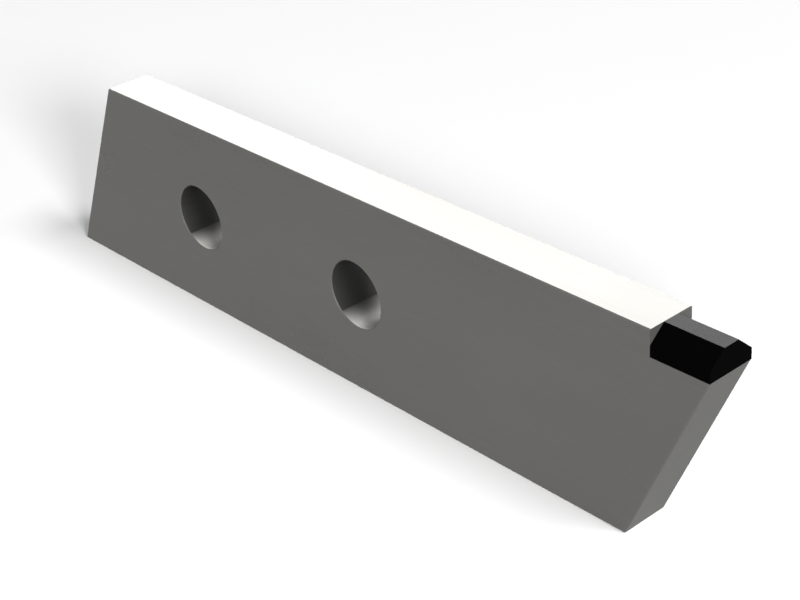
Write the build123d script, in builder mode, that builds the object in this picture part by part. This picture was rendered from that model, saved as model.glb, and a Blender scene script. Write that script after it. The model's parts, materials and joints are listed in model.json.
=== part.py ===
from build123d import *
from math import radians, tan
import os

# Spreader blade: a flat steel bar with slanted ends, bolted on through two plain
# holes, with a hard-metal tip let into a pocket at the top of its leading end.
# Lengths are in millimetres. X runs along the blade towards the tip, Z across its
# width and Y through its thickness. The mounting face lies at Y = 0 and the face
# under the bolt heads at Y = -bar_thickness. The origin is on the mounting face,
# midway between the two bolt holes.

os.makedirs("parts", exist_ok=True)

# Flat bar
bar_length = 195.0  # along the top edge, before the pocket is cut
bar_width = 50.0
bar_thickness = 12.0
end_slant = 25.0  # degrees from square, the same at both ends
edge_break = 0.25

# Bolt holes, on the bar's middle line
hole_diameter = 16.5
hole_spacing = 58.0
hole_inset = 34.0  # along the bar, from the trailing top corner to the first hole

# Pocket in the leading top corner, and the tip that fills its floor
pocket_depth = 6.0
tip_length = 14.2
tip_flank = 2.5  # upright sides of the tip, above the pocket floor
tip_land = 4.0  # flat top of the tip, level with the bar's top edge

# Places worked out from the sizes above
top_z = bar_width / 2
bottom_z = -bar_width / 2
front_y = -bar_thickness
slant_run = bar_width * tan(radians(end_slant))
trailing_x = -hole_spacing / 2 - hole_inset
leading_x = trailing_x + bar_length
floor_z = top_z - pocket_depth
tip_end_x = leading_x - pocket_depth * tan(radians(end_slant))
pocket_wall_x = tip_end_x - tip_length
tip_middle_y = front_y / 2


with BuildPart() as blade_body:
    # Bar blank: a slanted outline through the whole thickness, sharp edges broken
    with BuildSketch(Plane.XZ):
        with BuildLine():
            Polyline(
                (trailing_x, top_z),
                (leading_x, top_z),
                (leading_x - slant_run, bottom_z),
                (trailing_x - slant_run, bottom_z),
                close=True,
            )
        make_face()
    extrude(amount=bar_thickness)
    chamfer(blade_body.edges(), length=edge_break)

    # Pocket: an upright wall and a flat floor, open to the top, the end and both faces
    with BuildSketch(Plane.XZ):
        with Locations((pocket_wall_x, floor_z)):
            Rectangle(leading_x - pocket_wall_x, pocket_depth, align=(Align.MIN, Align.MIN))
    extrude(amount=bar_thickness, mode=Mode.SUBTRACT)

    # Bolt holes, straight through, with their rims deburred
    with Locations(Plane.XZ.offset(bar_thickness)):
        with GridLocations(hole_spacing, hole_spacing, 2, 1):
            Hole(radius=hole_diameter / 2)
    chamfer(blade_body.edges().filter_by(GeomType.CIRCLE), length=edge_break)


with BuildPart() as carbide_tip:
    # Roof-shaped section: upright flanks, a bevel on each side and a narrow flat land
    with BuildSketch(Plane.YZ.offset(pocket_wall_x)):
        with BuildLine():
            Polyline(
                (front_y, floor_z),
                (0, floor_z),
                (0, floor_z + tip_flank),
                (tip_middle_y + tip_land / 2, top_z),
                (tip_middle_y - tip_land / 2, top_z),
                (front_y, floor_z + tip_flank),
                close=True,
            )
        make_face()
    extrude(amount=tip_length)


blade_body.part.label = "blade_body"
carbide_tip.part.label = "carbide_tip"

export_step(blade_body.part, "parts/blade_body.step")
export_step(carbide_tip.part, "parts/carbide_tip.step")
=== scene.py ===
"""Looks of a spreader blade: a flat steel bar with a black hard-metal tip.

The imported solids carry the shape. This script gives them their finishes, and
adds the floor, the lamps and the camera.
"""

import json
import logging
import math
from dataclasses import dataclass, field
from enum import Enum
from typing import Any
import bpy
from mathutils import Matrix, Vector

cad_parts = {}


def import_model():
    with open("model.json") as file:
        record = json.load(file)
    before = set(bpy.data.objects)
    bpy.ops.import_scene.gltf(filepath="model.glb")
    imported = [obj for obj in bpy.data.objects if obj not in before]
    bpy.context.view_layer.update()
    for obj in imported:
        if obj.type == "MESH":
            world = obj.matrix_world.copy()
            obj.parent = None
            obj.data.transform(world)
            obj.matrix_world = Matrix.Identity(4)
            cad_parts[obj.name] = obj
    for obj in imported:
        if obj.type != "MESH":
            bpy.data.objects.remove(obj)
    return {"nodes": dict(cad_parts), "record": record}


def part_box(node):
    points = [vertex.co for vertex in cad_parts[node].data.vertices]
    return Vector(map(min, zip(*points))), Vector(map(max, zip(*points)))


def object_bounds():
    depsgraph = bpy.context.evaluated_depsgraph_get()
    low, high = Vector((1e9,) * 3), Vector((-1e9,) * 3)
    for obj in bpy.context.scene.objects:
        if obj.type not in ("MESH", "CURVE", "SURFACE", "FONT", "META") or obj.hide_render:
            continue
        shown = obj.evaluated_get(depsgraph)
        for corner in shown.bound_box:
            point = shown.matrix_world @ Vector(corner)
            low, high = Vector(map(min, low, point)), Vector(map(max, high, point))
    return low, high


frame: dict[str, Any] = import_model()
SOLID_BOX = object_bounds()

import bmesh
import bpy
from mathutils import Matrix, Vector

log = logging.getLogger("spreader_blade")
Colour = tuple[float, float, float]
Sizes = tuple[float, float, float]
Socket = bpy.types.NodeSocket

HOLES_MOUNT = "bolt_holes"
MM = 0.001
MICRON = 0.001 * MM
MATRIX_SIDE = 4
# Width over which a mask fades, in metres.
FADE = 0.05 * MM
# Nearly all of a noise pattern lies between these two values.
EVEN_LOW = 0.3
EVEN_HIGH = 0.7


class Node(Enum):
    """CAD nodes that this script dresses."""

    BODY = "blade_body"
    TIP = "carbide_tip"


class Slot(Enum):
    """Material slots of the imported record."""

    STEEL = "steel"
    HARD_METAL = "hard_metal"


class Sum(Enum):
    """Sums that a graph works out, under Blender's names for them."""

    ADD = "ADD"
    SUBTRACT = "SUBTRACT"
    MULTIPLY = "MULTIPLY"
    POWER = "POWER"
    ROOT = "SQRT"
    SIGN = "SIGN"
    WITHOUT_SIGN = "ABSOLUTE"
    SMALLER = "MINIMUM"
    LARGER = "MAXIMUM"


@dataclass
class Graph:
    """Node tree of a material or the world, with short ways to add and join nodes.

    Attributes:
        tree: The node tree that the methods fill.
    """

    tree: bpy.types.NodeTree

    def add(self, kind: str, **settings: Any) -> bpy.types.Node:
        """Adds a shader node.

        Args:
            kind: Blender's name of the node type, without "ShaderNode".
            **settings: Properties to set on the new node.

        Returns:
            The new node.
        """
        node = self.tree.nodes.new("ShaderNode" + kind)
        for name, value in settings.items():
            setattr(node, name, value)
        return node

    def feed(self, socket: Socket, value: Any) -> None:
        """Joins an output to a socket, or sets the socket to a plain value.

        Args:
            socket: The input to feed.
            value: An output socket, or a number, colour or vector.
        """
        if isinstance(value, bpy.types.NodeSocket):
            self.tree.links.new(value, socket)
        else:
            socket.default_value = value

    def work(self, operation: Sum, first: Any, second: Any = 0.0) -> Socket:
        """Works out one number from one or two.

        Args:
            operation: The sum.
            first: Left-hand number or output.
            second: Right-hand number or output, where the sum has one.

        Returns:
            The output that holds the result.
        """
        node = self.add("Math", operation=operation.value)
        self.feed(node.inputs[0], first)
        self.feed(node.inputs[1], second)
        return node.outputs[0]

    def square(self, value: Socket) -> Socket:
        """Multiplies a number by itself."""
        return self.work(Sum.MULTIPLY, value, value)

    def span(self, value: Any, low: float, high: float, to_low: Any, to_high: Any) -> Socket:
        """Carries a number from one range to another, held at both ends.

        Args:
            value: The number or output to carry.
            low: Start of the range that it comes from.
            high: End of the range that it comes from.
            to_low: Start of the range that it goes to, a number or an output.
            to_high: End of the range that it goes to, a number or an output.

        Returns:
            The output that holds the result.
        """
        node = self.add("MapRange", clamp=True)
        for index, given in enumerate((value, low, high, to_low, to_high)):
            self.feed(node.inputs[index], given)
        return node.outputs[0]

    def near(self, distance: Socket, reach: float, softness: float = FADE) -> Socket:
        """Makes a mask that is 1 within a distance and 0 beyond it.

        Args:
            distance: Output that holds a distance in metres.
            reach: Distance in metres at which the mask begins to fade.
            softness: Width in metres over which it fades.

        Returns:
            The output that holds the mask.
        """
        return self.span(distance, reach, reach + softness, 1.0, 0.0)

    def choose(self, mask: Socket, outside: Any, inside: Any) -> Socket:
        """Gives one number outside a mask and another inside it, and blends them between.

        Args:
            mask: Output that holds the mask.
            outside: Number or output where the mask is 0.
            inside: Number or output where the mask is 1.

        Returns:
            The output that holds the number.
        """
        return self.span(mask, 0.0, 1.0, outside, inside)

    def swing(self, noise: Socket, middle: float, reach: float) -> Socket:
        """Turns a noise pattern into a number that swings about a middle value.

        Args:
            noise: The noise pattern.
            middle: The value that it swings about.
            reach: How far it swings up and down.

        Returns:
            The output that holds the number.
        """
        return self.span(noise, EVEN_LOW, EVEN_HIGH, middle - reach, middle + reach)

    def split(self, place: Socket) -> dict[str, Socket]:
        """Splits a vector output into its X, Y and Z outputs.

        Args:
            place: The vector output.

        Returns:
            The three outputs by name.
        """
        node = self.add("SeparateXYZ")
        self.feed(node.inputs[0], place)
        return {name: node.outputs[name] for name in ("X", "Y", "Z")}

    def scale(self, colour: Colour, factor: Socket) -> Socket:
        """Multiplies a colour by a number.

        Args:
            colour: The colour, in linear light.
            factor: Output that holds the number.

        Returns:
            The output that holds the colour.
        """
        node = self.add("VectorMath", operation="SCALE")
        self.feed(node.inputs[0], colour)
        self.feed(node.inputs["Scale"], factor)
        return node.outputs[0]

    def noise(self, place: Socket, pitch: Sizes, octaves: float = 3.0) -> Socket:
        """Adds a noise pattern with its own grain size on each axis.

        Args:
            place: Vector output that the pattern follows.
            pitch: Size of the pattern along X, Y and Z, in metres.
            octaves: Octaves of finer noise.

        Returns:
            The output that holds the noise, near 0.5 on average.
        """
        mapping = self.add("Mapping")
        self.feed(mapping.inputs["Vector"], place)
        self.feed(mapping.inputs["Scale"], [1.0 / size for size in pitch])
        node = self.add("TexNoise", noise_dimensions="3D")
        self.feed(node.inputs["Vector"], mapping.outputs[0])
        self.feed(node.inputs["Scale"], 1.0)
        self.feed(node.inputs["Detail"], octaves)
        return node.outputs["Fac"]

    def bump(self, height: Socket) -> Socket:
        """Turns a height into a surface normal.

        Args:
            height: Output that holds the height, in metres.

        Returns:
            The output that holds the normal.
        """
        node = self.add("Bump")
        self.feed(node.inputs["Strength"], 1.0)
        self.feed(node.inputs["Distance"], 1.0)
        self.feed(node.inputs["Height"], height)
        return node.outputs[0]

    def shade(self, colour: Socket, metallic: Socket, roughness: Socket, height: Socket) -> bpy.types.Node:
        """Adds the shader of a metal surface and joins it to the output.

        Args:
            colour: Output that holds its colour.
            metallic: Output that holds the share that answers as bare metal.
            roughness: Output that holds its roughness.
            height: Output that holds the height of its marks, in metres.

        Returns:
            The shader, for the settings that are the same all over.
        """
        shader = self.add("BsdfPrincipled")
        self.feed(shader.inputs["Base Color"], colour)
        self.feed(shader.inputs["Metallic"], metallic)
        self.feed(shader.inputs["Roughness"], roughness)
        self.feed(shader.inputs["Normal"], self.bump(height))
        self.finish(shader.outputs[0])
        return shader

    def finish(self, surface: Socket) -> None:
        """Joins the finished surface to the material's output."""
        out = self.add("OutputMaterial")
        self.feed(out.inputs["Surface"], surface)


def grey(level: float) -> tuple[float, float, float, float]:
    """Gives an even grey with its alpha."""
    return (level, level, level, 1.0)


def blank_material(name: str) -> tuple[bpy.types.Material, Graph]:
    """Makes a material with an empty node tree.

    Args:
        name: The material's name.

    Returns:
        The material and the graph of its nodes.
    """
    material = bpy.data.materials.new(name)
    material.use_nodes = True
    material.node_tree.nodes.clear()
    return material, Graph(material.node_tree)


@dataclass(frozen=True)
class BladeMap:
    """Places on the blade that the steel's finish follows, in metres.

    Attributes:
        hole_place: Distance of each hole's axis from the middle between them.
        hole_radius: Radius of the holes.
        half_width: Distance of the long edges from the holes' line.
        middle_y: Middle of the bar's thickness.
        half_thickness: Half of the bar's thickness.
        pocket_x: Place of the pocket's upright wall.
        pocket_z: Height of the pocket's floor.
        end_x: Place where the slanted end meets the pocket's floor.
        far_x: Place where the other end meets the lower edge.
        slant: Slant of both ends from square, in radians.
    """

    hole_place: float
    hole_radius: float
    half_width: float
    middle_y: float
    half_thickness: float
    pocket_x: float
    pocket_z: float
    end_x: float
    far_x: float
    slant: float = math.radians(25.0)

    @classmethod
    def measure(cls) -> "BladeMap":
        """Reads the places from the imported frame.

        Returns:
            The places.
        """
        body_low, body_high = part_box(Node.BODY.value)
        tip_low, tip_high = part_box(Node.TIP.value)
        mounts = {mount["name"]: mount["dims"] for mount in frame["record"]["mounts"]}
        holes = mounts[HOLES_MOUNT]
        return cls(
            hole_place=holes["spacing_x_mm"] * MM / 2,
            hole_radius=holes["hole_r_mm"] * MM,
            half_width=(body_high.z - body_low.z) / 2,
            middle_y=(body_high.y + body_low.y) / 2,
            half_thickness=(body_high.y - body_low.y) / 2,
            pocket_x=tip_low.x,
            pocket_z=tip_low.z,
            end_x=tip_high.x,
            far_x=body_low.x,
        )


@dataclass(frozen=True)
class Cut:
    """Look that one way of cutting leaves on the steel.

    Attributes:
        tone: Factor on the steel's colour.
        metallic: Share of the surface that answers as bare metal.
        roughness: Mean roughness.
        grain: Size of the tool marks along X, Y and Z, in metres.
        depth: Depth of the tool marks, in metres.
    """

    tone: float
    metallic: float
    roughness: float
    grain: Sizes
    depth: float


@dataclass(frozen=True)
class PaintedHoleLight:
    """Place and strength of the painted light on the lower side of each hole.

    Attributes:
        place: Place of its middle, in radians from straight down towards the tip.
        reach: How far it reaches round the hole each way, in radians.
        fade: Share of the hole's radius over which it begins.
        curve: How much it gathers at its middle, where 1 is an even slope.
        at_start: Strength where it begins, where 1 is that of its middle.
        inside: Strength deep inside the hole, where 1 is that of the rims.
    """

    place: float = math.radians(22.0)
    reach: float = math.radians(62.0)
    fade: float = 0.03
    curve: float = 1.2
    at_start: float = 0.10
    inside: float = 0.20


@dataclass(frozen=True)
class BladeMasks:
    """Masks of the bar's zones, each 1 in its zone and 0 elsewhere.

    Attributes:
        graph: The graph that they are added to.
        axes: Outputs that hold the place along X, Y and Z, in metres.
        places: Where the holes, ends and pocket are.
    """

    graph: Graph
    axes: dict[str, Socket]
    places: BladeMap

    def holes(self) -> Socket:
        """Marks the walls of both holes by their distance from the nearest hole's axis.

        Returns:
            The output that holds the mask.
        """
        graph = self.graph
        off_centre = graph.work(Sum.WITHOUT_SIGN, self.axes["X"])
        across = graph.work(Sum.SUBTRACT, off_centre, self.places.hole_place)
        squares = graph.work(Sum.ADD, graph.square(across), graph.square(self.axes["Z"]))
        return graph.near(graph.work(Sum.ROOT, squares), self.places.hole_radius)

    def entries(self, holes: Socket, curve: float) -> Socket:
        """Marks the holes' walls at their rims, fading towards the middle of the thickness.

        Args:
            holes: Mask of the holes' walls.
            curve: How much the mask gathers at the rims, where 1 is an even slope.

        Returns:
            The output that holds the mask.
        """
        rim = self.graph.span(self.below_face(), 0.0, self.places.half_thickness, 1.0, 0.0)
        return self.graph.work(Sum.MULTIPLY, holes, self.graph.work(Sum.POWER, rim, curve))

    def painted_lit_side(self, holes: Socket, entries: Socket, hole_light: PaintedHoleLight) -> Socket:
        """Marks the side of each hole that is painted bright as if lit, more strongly towards its middle
        and the rims.

        Args:
            holes: Mask of the holes' walls.
            entries: Mask of those walls at their rims.
            hole_light: Where that side of painted light lies and how strong it is.

        Returns:
            The output that holds the mask.
        """
        graph = self.graph
        radius = self.places.hole_radius
        side = graph.work(Sum.SIGN, self.axes["X"])
        axis = graph.work(Sum.MULTIPLY, side, self.places.hole_place)
        across = graph.work(Sum.SUBTRACT, self.axes["X"], axis)
        ahead = graph.work(Sum.MULTIPLY, across, math.sin(hole_light.place) / radius)
        below = graph.work(Sum.MULTIPLY, self.axes["Z"], -math.cos(hole_light.place) / radius)
        towards = graph.work(Sum.ADD, ahead, below)
        start = math.cos(hole_light.reach)
        begun = graph.span(towards, start - hole_light.fade, start, 0.0, 1.0)
        slope = graph.work(Sum.POWER, graph.span(towards, start, 1.0, 0.0, 1.0), hole_light.curve)
        strength = graph.work(Sum.MULTIPLY, begun, graph.choose(slope, hole_light.at_start, 1.0))
        strength = graph.work(Sum.MULTIPLY, strength, graph.choose(entries, hole_light.inside, 1.0))
        return graph.work(Sum.MULTIPLY, holes, strength)

    def pocket(self) -> Socket:
        """Marks the pocket's wall and floor.

        Returns:
            The output that holds the mask.
        """
        graph = self.graph
        behind_wall = graph.work(Sum.SUBTRACT, self.places.pocket_x, self.axes["X"])
        under_floor = graph.work(Sum.SUBTRACT, self.places.pocket_z, self.axes["Z"])
        return graph.near(graph.work(Sum.LARGER, behind_wall, under_floor), 0.0)

    def ends(self, reach: float) -> Socket:
        """Marks both slanted ends.

        Args:
            reach: Distance from an end's plane within which the surface is the end, in metres.

        Returns:
            The output that holds the mask.
        """
        graph = self.graph
        lean = math.tan(self.places.slant)
        leading = self.places.end_x - self.places.pocket_z * lean
        trailing = self.places.far_x + self.places.half_width * lean
        shift = graph.work(Sum.MULTIPLY, self.axes["Z"], lean)
        upright = graph.work(Sum.SUBTRACT, self.axes["X"], shift)
        distances = [
            graph.work(Sum.WITHOUT_SIGN, graph.work(Sum.SUBTRACT, upright, end))
            for end in (leading, trailing)
        ]
        return graph.near(graph.work(Sum.SMALLER, *distances), reach)

    def edges(self, reach: float) -> Socket:
        """Marks the broken long edges, where a broad face meets a narrow one.

        Args:
            reach: Width of the broken edges, in metres.

        Returns:
            The output that holds the mask.
        """
        graph = self.graph
        off_line = graph.work(Sum.WITHOUT_SIGN, self.axes["Z"])
        below_edge = graph.work(Sum.SUBTRACT, self.places.half_width, off_line)
        return graph.near(graph.work(Sum.LARGER, below_edge, self.below_face()), reach)

    def below_face(self) -> Socket:
        """Works out the depth below the nearer broad face.

        Returns:
            The output that holds the depth, in metres.
        """
        graph = self.graph
        off_middle = graph.work(Sum.SUBTRACT, self.axes["Y"], self.places.middle_y)
        off_middle = graph.work(Sum.WITHOUT_SIGN, off_middle)
        return graph.work(Sum.SUBTRACT, self.places.half_thickness, off_middle)


@dataclass(frozen=True)
class BladeSteel:
    """Finish of the bar: ground faces, sawn ends, bolt holes and a machined pocket, with painted shade and
    light in the holes and painted shade in the pocket.

    The hole walls are coloured dark as painted shade, and the lower side of each hole bright as painted
    light, most of all at its rims.

    Attributes:
        colour: Mean colour of the ground steel, in linear light.
        gloss: Specular level of the dull share of the surface.
        rim_tint: How much of the metal's shine is left at a glancing angle.
        cloud: Size of the soft clouding along X, Y and Z, in metres.
        cloud_octaves: Octaves of finer clouding.
        cloud_tone: How far the clouding changes the tone, up and down.
        line_tone: How far the tool marks change the tone, up and down.
        rough_swing: How far the clouding changes the roughness, up and down.
        end_reach: Distance from an end's plane within which the surface is the end, in metres.
        edge_reach: Width of the broken edges, in metres.
        edge_tone: Factor on the tone along the broken edges.
        entry_curve: How much the rims' look gathers at the rims, where 1 is an even slope.
        ground: Look of the long faces and edges.
        sawn: Look of the slanted ends.
        milled_and_shaded: Look of the pocket: a machined finish, with its tone darkened as painted shade
            behind the tip.
        drilled_and_shaded: Look of the bolt holes deep inside, rough and coloured nearly black as painted
            shade.
        entry: Look of the hole walls at their rims, coloured dark as painted shade, though less dark than
            deeper in.
        painted_lit_side: Look of the lower side of the holes, a painted light that colours it far brighter
            as if lit from above.
        hole_light: Place and strength of that painted light.
    """

    colour: Colour = (0.129, 0.127, 0.121)
    gloss: float = 0.3
    rim_tint: float = 0.6
    cloud: Sizes = (60 * MM, 20 * MM, 20 * MM)
    cloud_octaves: float = 5.0
    cloud_tone: float = 0.04
    line_tone: float = 0.03
    rough_swing: float = 0.04
    end_reach: float = 0.05 * MM
    edge_reach: float = 0.26 * MM
    edge_tone: float = 1.12
    entry_curve: float = 2.0
    ground: Cut = Cut(
        tone=1.0,
        metallic=0.8,
        roughness=0.30,
        grain=(20 * MM, 0.4 * MM, 0.4 * MM),
        depth=4 * MICRON,
    )
    sawn: Cut = Cut(
        tone=0.94,
        metallic=0.8,
        roughness=0.36,
        grain=(0.5 * MM, 20 * MM, 0.5 * MM),
        depth=5 * MICRON,
    )
    # Painted shade: the pocket behind the tip is coloured darker than the faces.
    milled_and_shaded: Cut = Cut(
        tone=0.65,
        metallic=0.4,
        roughness=0.40,
        grain=(0.3 * MM, 20 * MM, 0.3 * MM),
        depth=4 * MICRON,
    )
    # Painted shade: the hole walls deep inside are coloured nearly black.
    drilled_and_shaded: Cut = Cut(
        tone=0.06,
        metallic=0.3,
        roughness=0.45,
        grain=(9 * MM, 0.3 * MM, 9 * MM),
        depth=6 * MICRON,
    )
    # Painted shade: the hole walls at their rims are coloured dark, less so than deeper in.
    entry: Cut = Cut(
        tone=0.27,
        metallic=0.3,
        roughness=0.45,
        grain=(9 * MM, 0.3 * MM, 9 * MM),
        depth=6 * MICRON,
    )
    # Painted light: the lower side of each hole is coloured far brighter, as if lit from above.
    painted_lit_side: Cut = Cut(
        tone=6.8,
        metallic=0.05,
        roughness=0.50,
        grain=(9 * MM, 0.3 * MM, 9 * MM),
        depth=3 * MICRON,
    )
    hole_light: PaintedHoleLight = PaintedHoleLight()

    def make(self, places: BladeMap) -> bpy.types.Material:
        """Builds the material.

        Args:
            places: Where the holes, ends and pocket are.

        Returns:
            The material.
        """
        material, graph = blank_material("blade_steel")
        place = graph.add("TexCoord").outputs["Object"]
        masks = BladeMasks(graph, graph.split(place), places)
        holes = masks.holes()
        entries = masks.entries(holes, self.entry_curve)
        # The hole walls carry painted shade, and their lower sides painted light.
        zones = (
            (self.sawn, masks.ends(self.end_reach)),
            (self.milled_and_shaded, masks.pocket()),
            (self.drilled_and_shaded, holes),
            (self.entry, entries),
            (self.painted_lit_side, masks.painted_lit_side(holes, entries, self.hole_light)),
        )
        marks = graph.noise(place, self.ground.grain)
        tone: Any = self.ground.tone
        metallic: Any = self.ground.metallic
        roughness: Any = self.ground.roughness
        depth: Any = self.ground.depth
        for cut, mask in zones:
            marks = graph.choose(mask, marks, graph.noise(place, cut.grain))
            tone = graph.choose(mask, tone, cut.tone)
            metallic = graph.choose(mask, metallic, cut.metallic)
            roughness = graph.choose(mask, roughness, cut.roughness)
            depth = graph.choose(mask, depth, cut.depth)

        cloud = graph.noise(place, self.cloud, self.cloud_octaves)
        factors = (
            graph.choose(masks.edges(self.edge_reach), 1.0, self.edge_tone),
            graph.swing(cloud, 1.0, self.cloud_tone),
            graph.swing(marks, 1.0, self.line_tone),
        )
        for factor in factors:
            tone = graph.work(Sum.MULTIPLY, tone, factor)
        roughness = graph.work(Sum.ADD, roughness, graph.swing(cloud, 0.0, self.rough_swing))
        height = graph.work(Sum.MULTIPLY, marks, depth)
        shader = graph.shade(graph.scale(self.colour, tone), metallic, roughness, height)
        shader.inputs["Specular IOR Level"].default_value = self.gloss
        shader.inputs["Specular Tint"].default_value = grey(self.rim_tint)
        return material


@dataclass(frozen=True)
class HardMetal:
    """Finish of the tip: near-black sintered hard metal, matt but for its ground top land, whose lighter
    tone is painted light from above.

    Attributes:
        colour: Mean colour, in linear light.
        roughness: Mean roughness.
        rough_swing: How far the grain changes the roughness, up and down.
        gloss: Specular level of the surface.
        grain: Size of the sintered grain along X, Y and Z, in metres.
        tone_swing: How far the grain changes the tone, up and down.
        marks: Size of the grinding marks along X, Y and Z, in metres.
        depth: Depth of the grinding marks, in metres.
        land_reach: Depth below the top within which the surface is the ground land, in metres.
        painted_land_light: Factor on the colour of the land, a painted light that makes it grey as if lit
            from above.
        land_metallic: Share of the land that answers as bare metal.
    """

    colour: Colour = (0.0012, 0.0012, 0.0012)
    roughness: float = 0.30
    rough_swing: float = 0.04
    gloss: float = 0.001
    grain: Sizes = (0.15 * MM, 0.15 * MM, 0.15 * MM)
    tone_swing: float = 0.25
    marks: Sizes = (6 * MM, 0.2 * MM, 0.2 * MM)
    depth: float = 1.5 * MICRON
    land_reach: float = 0.02 * MM
    # Painted light: the tip's top land is coloured lighter, as if lit from above.
    painted_land_light: float = 31.0
    land_metallic: float = 0.2

    def make(self, top: float) -> bpy.types.Material:
        """Builds the material.

        Args:
            top: Height of the tip's top land, in metres.

        Returns:
            The material.
        """
        material, graph = blank_material("hard_metal")
        place = graph.add("TexCoord").outputs["Object"]
        below_top = graph.work(Sum.SUBTRACT, top, graph.split(place)["Z"])
        land = graph.near(below_top, self.land_reach, self.land_reach)
        grain = graph.noise(place, self.grain)
        tone = graph.swing(grain, 1.0, self.tone_swing)
        # Painted light: the top land's colour is raised far above the rest, as if lit from above.
        tone = graph.work(Sum.MULTIPLY, tone, graph.choose(land, 1.0, self.painted_land_light))
        metallic = graph.choose(land, 0.0, self.land_metallic)
        roughness = graph.swing(grain, self.roughness, self.rough_swing)
        height = graph.work(Sum.MULTIPLY, graph.noise(place, self.marks), self.depth)
        shader = graph.shade(graph.scale(self.colour, tone), metallic, roughness, height)
        shader.inputs["Specular IOR Level"].default_value = self.gloss
        return material


@dataclass(frozen=True)
class SoftBox:
    """Oblong lamp that faces the blade.

    Attributes:
        name: The lamp's name.
        azimuth: Compass place in degrees, 0 in front of the blade, 90 past its tip.
        elevation: Degrees above the horizon.
        distance: Metres from the blade.
        width: Width of the lit face, in metres.
        height: Height of the lit face, in metres.
        glow: Brightness of the lit face, where 1 is the white of the background.
        roll: Degrees that the face is turned about its own middle.
        shine_only: Whether it shows in reflections alone and casts no light of its own.
    """

    name: str
    azimuth: float
    elevation: float
    distance: float
    width: float
    height: float
    glow: float
    roll: float = 0.0
    shine_only: bool = False

    def hang(self, target: Vector) -> None:
        """Hangs the lamp.

        Args:
            target: The point that it faces.
        """
        light = bpy.data.lights.new(self.name, "AREA")
        light.shape = "RECTANGLE"
        light.size = self.width
        light.size_y = self.height
        light.energy = self.glow * math.pi * self.width * self.height
        lamp = bpy.data.objects.new(self.name, light)
        lamp.matrix_world = aimed(target, self.azimuth, self.elevation, self.distance, self.roll)
        lamp.visible_diffuse = not self.shine_only
        bpy.context.scene.collection.objects.link(lamp)


def aimed(target: Vector, azimuth: float, elevation: float, distance: float, roll: float) -> Matrix:
    """Gives the place of a lamp or camera that looks at a point.

    Args:
        target: The point that it looks at.
        azimuth: Degrees, 0 in front of the blade (-Y) and 90 past its tip (+X).
        elevation: Degrees above the horizon.
        distance: Metres from the point.
        roll: Degrees that it is turned about its line of sight.

    Returns:
        The matrix that carries it from the origin to its place.
    """
    turn = math.radians(azimuth)
    rise = math.radians(elevation)
    level = math.cos(rise)
    back = Vector((math.sin(turn) * level, -math.cos(turn) * level, math.sin(rise)))
    facing = back.to_track_quat("Z", "Y").to_matrix().to_4x4()
    tilt = Matrix.Rotation(math.radians(roll), MATRIX_SIDE, "Z")
    return Matrix.Translation(target + back * distance) @ facing @ tilt


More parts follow.
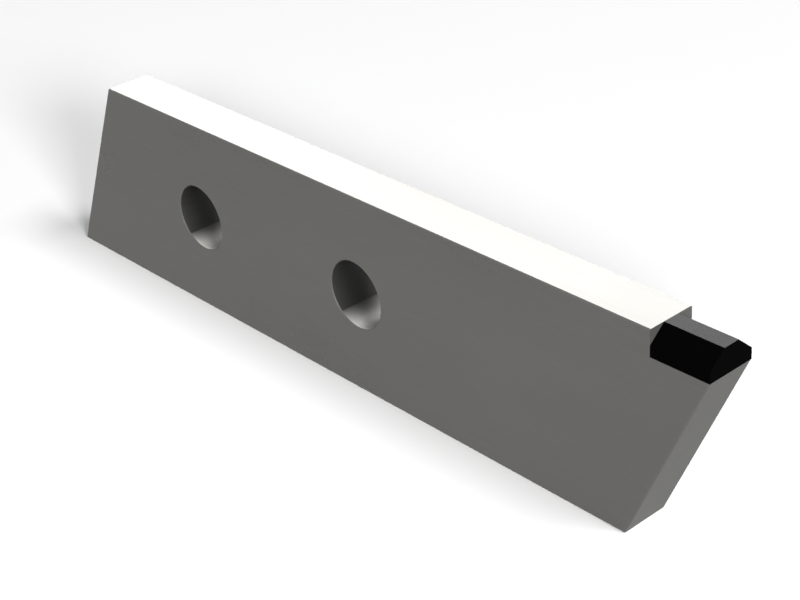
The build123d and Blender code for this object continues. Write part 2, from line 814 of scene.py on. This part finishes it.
@dataclass
class Studio:
    """Floor, lamps, world and camera.

    Attributes:
        floor_size: Side of the floor, in metres.
        floor_shade: Colour of the floor, in linear light.
        glow_in_gloss: Share of the floor's white that reflections see whatever shades it.
        world_fill: Light that the white surroundings cast, where 1 is as white as they look.
        look_at: Point that the camera and the lamps face.
        camera_distance: Metres from that point to the camera.
        camera_azimuth: Compass place of the camera, in degrees.
        camera_elevation: Degrees of the camera above the horizon.
        camera_roll: Degrees that the camera is turned about its line of sight.
        lens: Focal length, in millimetres.
        sensor: Width of the sensor, in millimetres.
        near_clip: Nearest distance that the camera sees, in metres.
        lamps: The lamps.
    """

    floor_size: float = 8.0
    floor_shade: float = 0.93
    glow_in_gloss: float = 0.90
    world_fill: float = 0.09
    look_at: Vector = field(default_factory=lambda: Vector((37.2, -6.0, -0.7)) * MM)
    camera_distance: float = 396.6 * MM
    camera_azimuth: float = 49.91
    camera_elevation: float = 29.44
    camera_roll: float = -4.18
    lens: float = 80.32
    sensor: float = 36.0
    near_clip: float = 10 * MM
    lamps: tuple[SoftBox, ...] = (
        SoftBox(
            "key_lamp",
            azimuth=70.0,
            elevation=20.0,
            distance=6.0,
            width=1.30,
            height=1.05,
            glow=78.0,
        ),
        SoftBox(
            "front_lamp",
            azimuth=51.0,
            elevation=24.0,
            distance=6.0,
            width=1.45,
            height=0.85,
            glow=62.0,
        ),
        SoftBox(
            "side_lamp",
            azimuth=99.0,
            elevation=50.0,
            distance=6.0,
            width=1.50,
            height=1.50,
            glow=29.0,
        ),
        SoftBox(
            "back_lamp",
            azimuth=228.5,
            elevation=28.5,
            distance=1.0,
            width=1.00,
            height=0.46,
            glow=9.5,
            roll=-27.5,
            shine_only=True,
        ),
    )

    def lay_floor(self, level: float) -> None:
        """Lays the pale floor that the blade stands on.

        Args:
            level: Height of the floor, in metres.
        """
        mesh = bpy.data.meshes.new("floor")
        shape = bmesh.new()
        bmesh.ops.create_grid(shape, x_segments=1, y_segments=1, size=self.floor_size / 2)
        bmesh.ops.translate(shape, verts=shape.verts, vec=(0.0, 0.0, level))
        shape.to_mesh(mesh)
        shape.free()
        floor = bpy.data.objects.new("floor", mesh)
        bpy.context.scene.collection.objects.link(floor)
        floor.data.materials.append(self.floor_material())

    def floor_material(self) -> bpy.types.Material:
        """Builds the pale floor's material, which glows white in reflections.

        Returns:
            The material.
        """
        material, graph = blank_material("pale_floor")
        matt = graph.add("BsdfDiffuse")
        matt.inputs["Color"].default_value = grey(self.floor_shade)
        glow = graph.add("Emission")
        rays = graph.add("LightPath").outputs
        mirrored = graph.work(Sum.LARGER, rays["Is Glossy Ray"], rays["Is Transmission Ray"])
        blend = graph.add("MixShader")
        graph.feed(blend.inputs[0], graph.work(Sum.MULTIPLY, mirrored, self.glow_in_gloss))
        graph.feed(blend.inputs[1], matt.outputs[0])
        graph.feed(blend.inputs[2], glow.outputs[0])
        graph.finish(blend.outputs[0])
        return material

    def fill_world(self) -> None:
        """Fills the surroundings with white, at a lower level for the light that they cast."""
        world = bpy.data.worlds.new("studio")
        bpy.context.scene.world = world
        world.use_nodes = True
        world.node_tree.nodes.clear()
        graph = Graph(world.node_tree)
        rays = graph.add("LightPath").outputs
        seen = graph.work(Sum.LARGER, rays["Is Camera Ray"], rays["Is Glossy Ray"])
        seen = graph.work(Sum.LARGER, seen, rays["Is Transmission Ray"])
        light = graph.add("Background")
        light.inputs["Color"].default_value = grey(1.0)
        graph.feed(light.inputs["Strength"], graph.choose(seen, self.world_fill, 1.0))
        out = graph.add("OutputWorld")
        graph.feed(out.inputs["Surface"], light.outputs[0])

    def set_camera(self) -> None:
        """Sets the camera at the photograph's place, with its slight roll."""
        data = bpy.data.cameras.new("camera")
        data.lens = self.lens
        data.sensor_width = self.sensor
        data.clip_start = self.near_clip
        camera = bpy.data.objects.new("camera", data)
        camera.matrix_world = aimed(
            self.look_at,
            self.camera_azimuth,
            self.camera_elevation,
            self.camera_distance,
            self.camera_roll,
        )
        bpy.context.scene.collection.objects.link(camera)
        bpy.context.scene.camera = camera

    def build(self, level: float) -> None:
        """Builds the whole studio.

        Args:
            level: Height of the floor, in metres.
        """
        self.lay_floor(level)
        self.fill_world()
        for lamp in self.lamps:
            lamp.hang(self.look_at)
        self.set_camera()


@dataclass
class BladeBody:
    """The steel bar, a CAD node.

    Attributes:
        places: Where its holes, ends and pocket are.
        finish: Its finish.
    """

    places: BladeMap
    finish: BladeSteel = field(default_factory=BladeSteel)

    def dress(self) -> bpy.types.Object:
        """Gives the bar its finish and returns its object."""
        return dress(Node.BODY, self.finish.make(self.places))


@dataclass
class CarbideTip:
    """The hard-metal tip, a CAD node.

    Attributes:
        finish: Its finish.
    """

    finish: HardMetal = field(default_factory=HardMetal)

    def dress(self) -> bpy.types.Object:
        """Gives the tip its finish and returns its object."""
        _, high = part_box(Node.TIP.value)
        return dress(Node.TIP, self.finish.make(high.z))


def dress(node: Node, material: bpy.types.Material) -> bpy.types.Object:
    """Puts a material on a CAD node.

    Args:
        node: The node to dress.
        material: The material to put on.

    Returns:
        The node's object.
    """
    piece = frame["nodes"][node.value]
    piece.data.materials.clear()
    piece.data.materials.append(material)
    return piece


def main() -> None:
    """Dresses the blade and builds the studio round it."""
    logging.basicConfig(level=logging.INFO, format="%(name)s: %(message)s")
    low, high = SOLID_BOX
    for part in (BladeBody(BladeMap.measure()), CarbideTip()):
        piece = part.dress()
        log.info("%s dressed, %d faces", piece.name, len(piece.data.polygons))
    Studio().build(low.z)
    bpy.context.scene.view_settings.view_transform = "Standard"


if __name__ == "__main__":
    main()
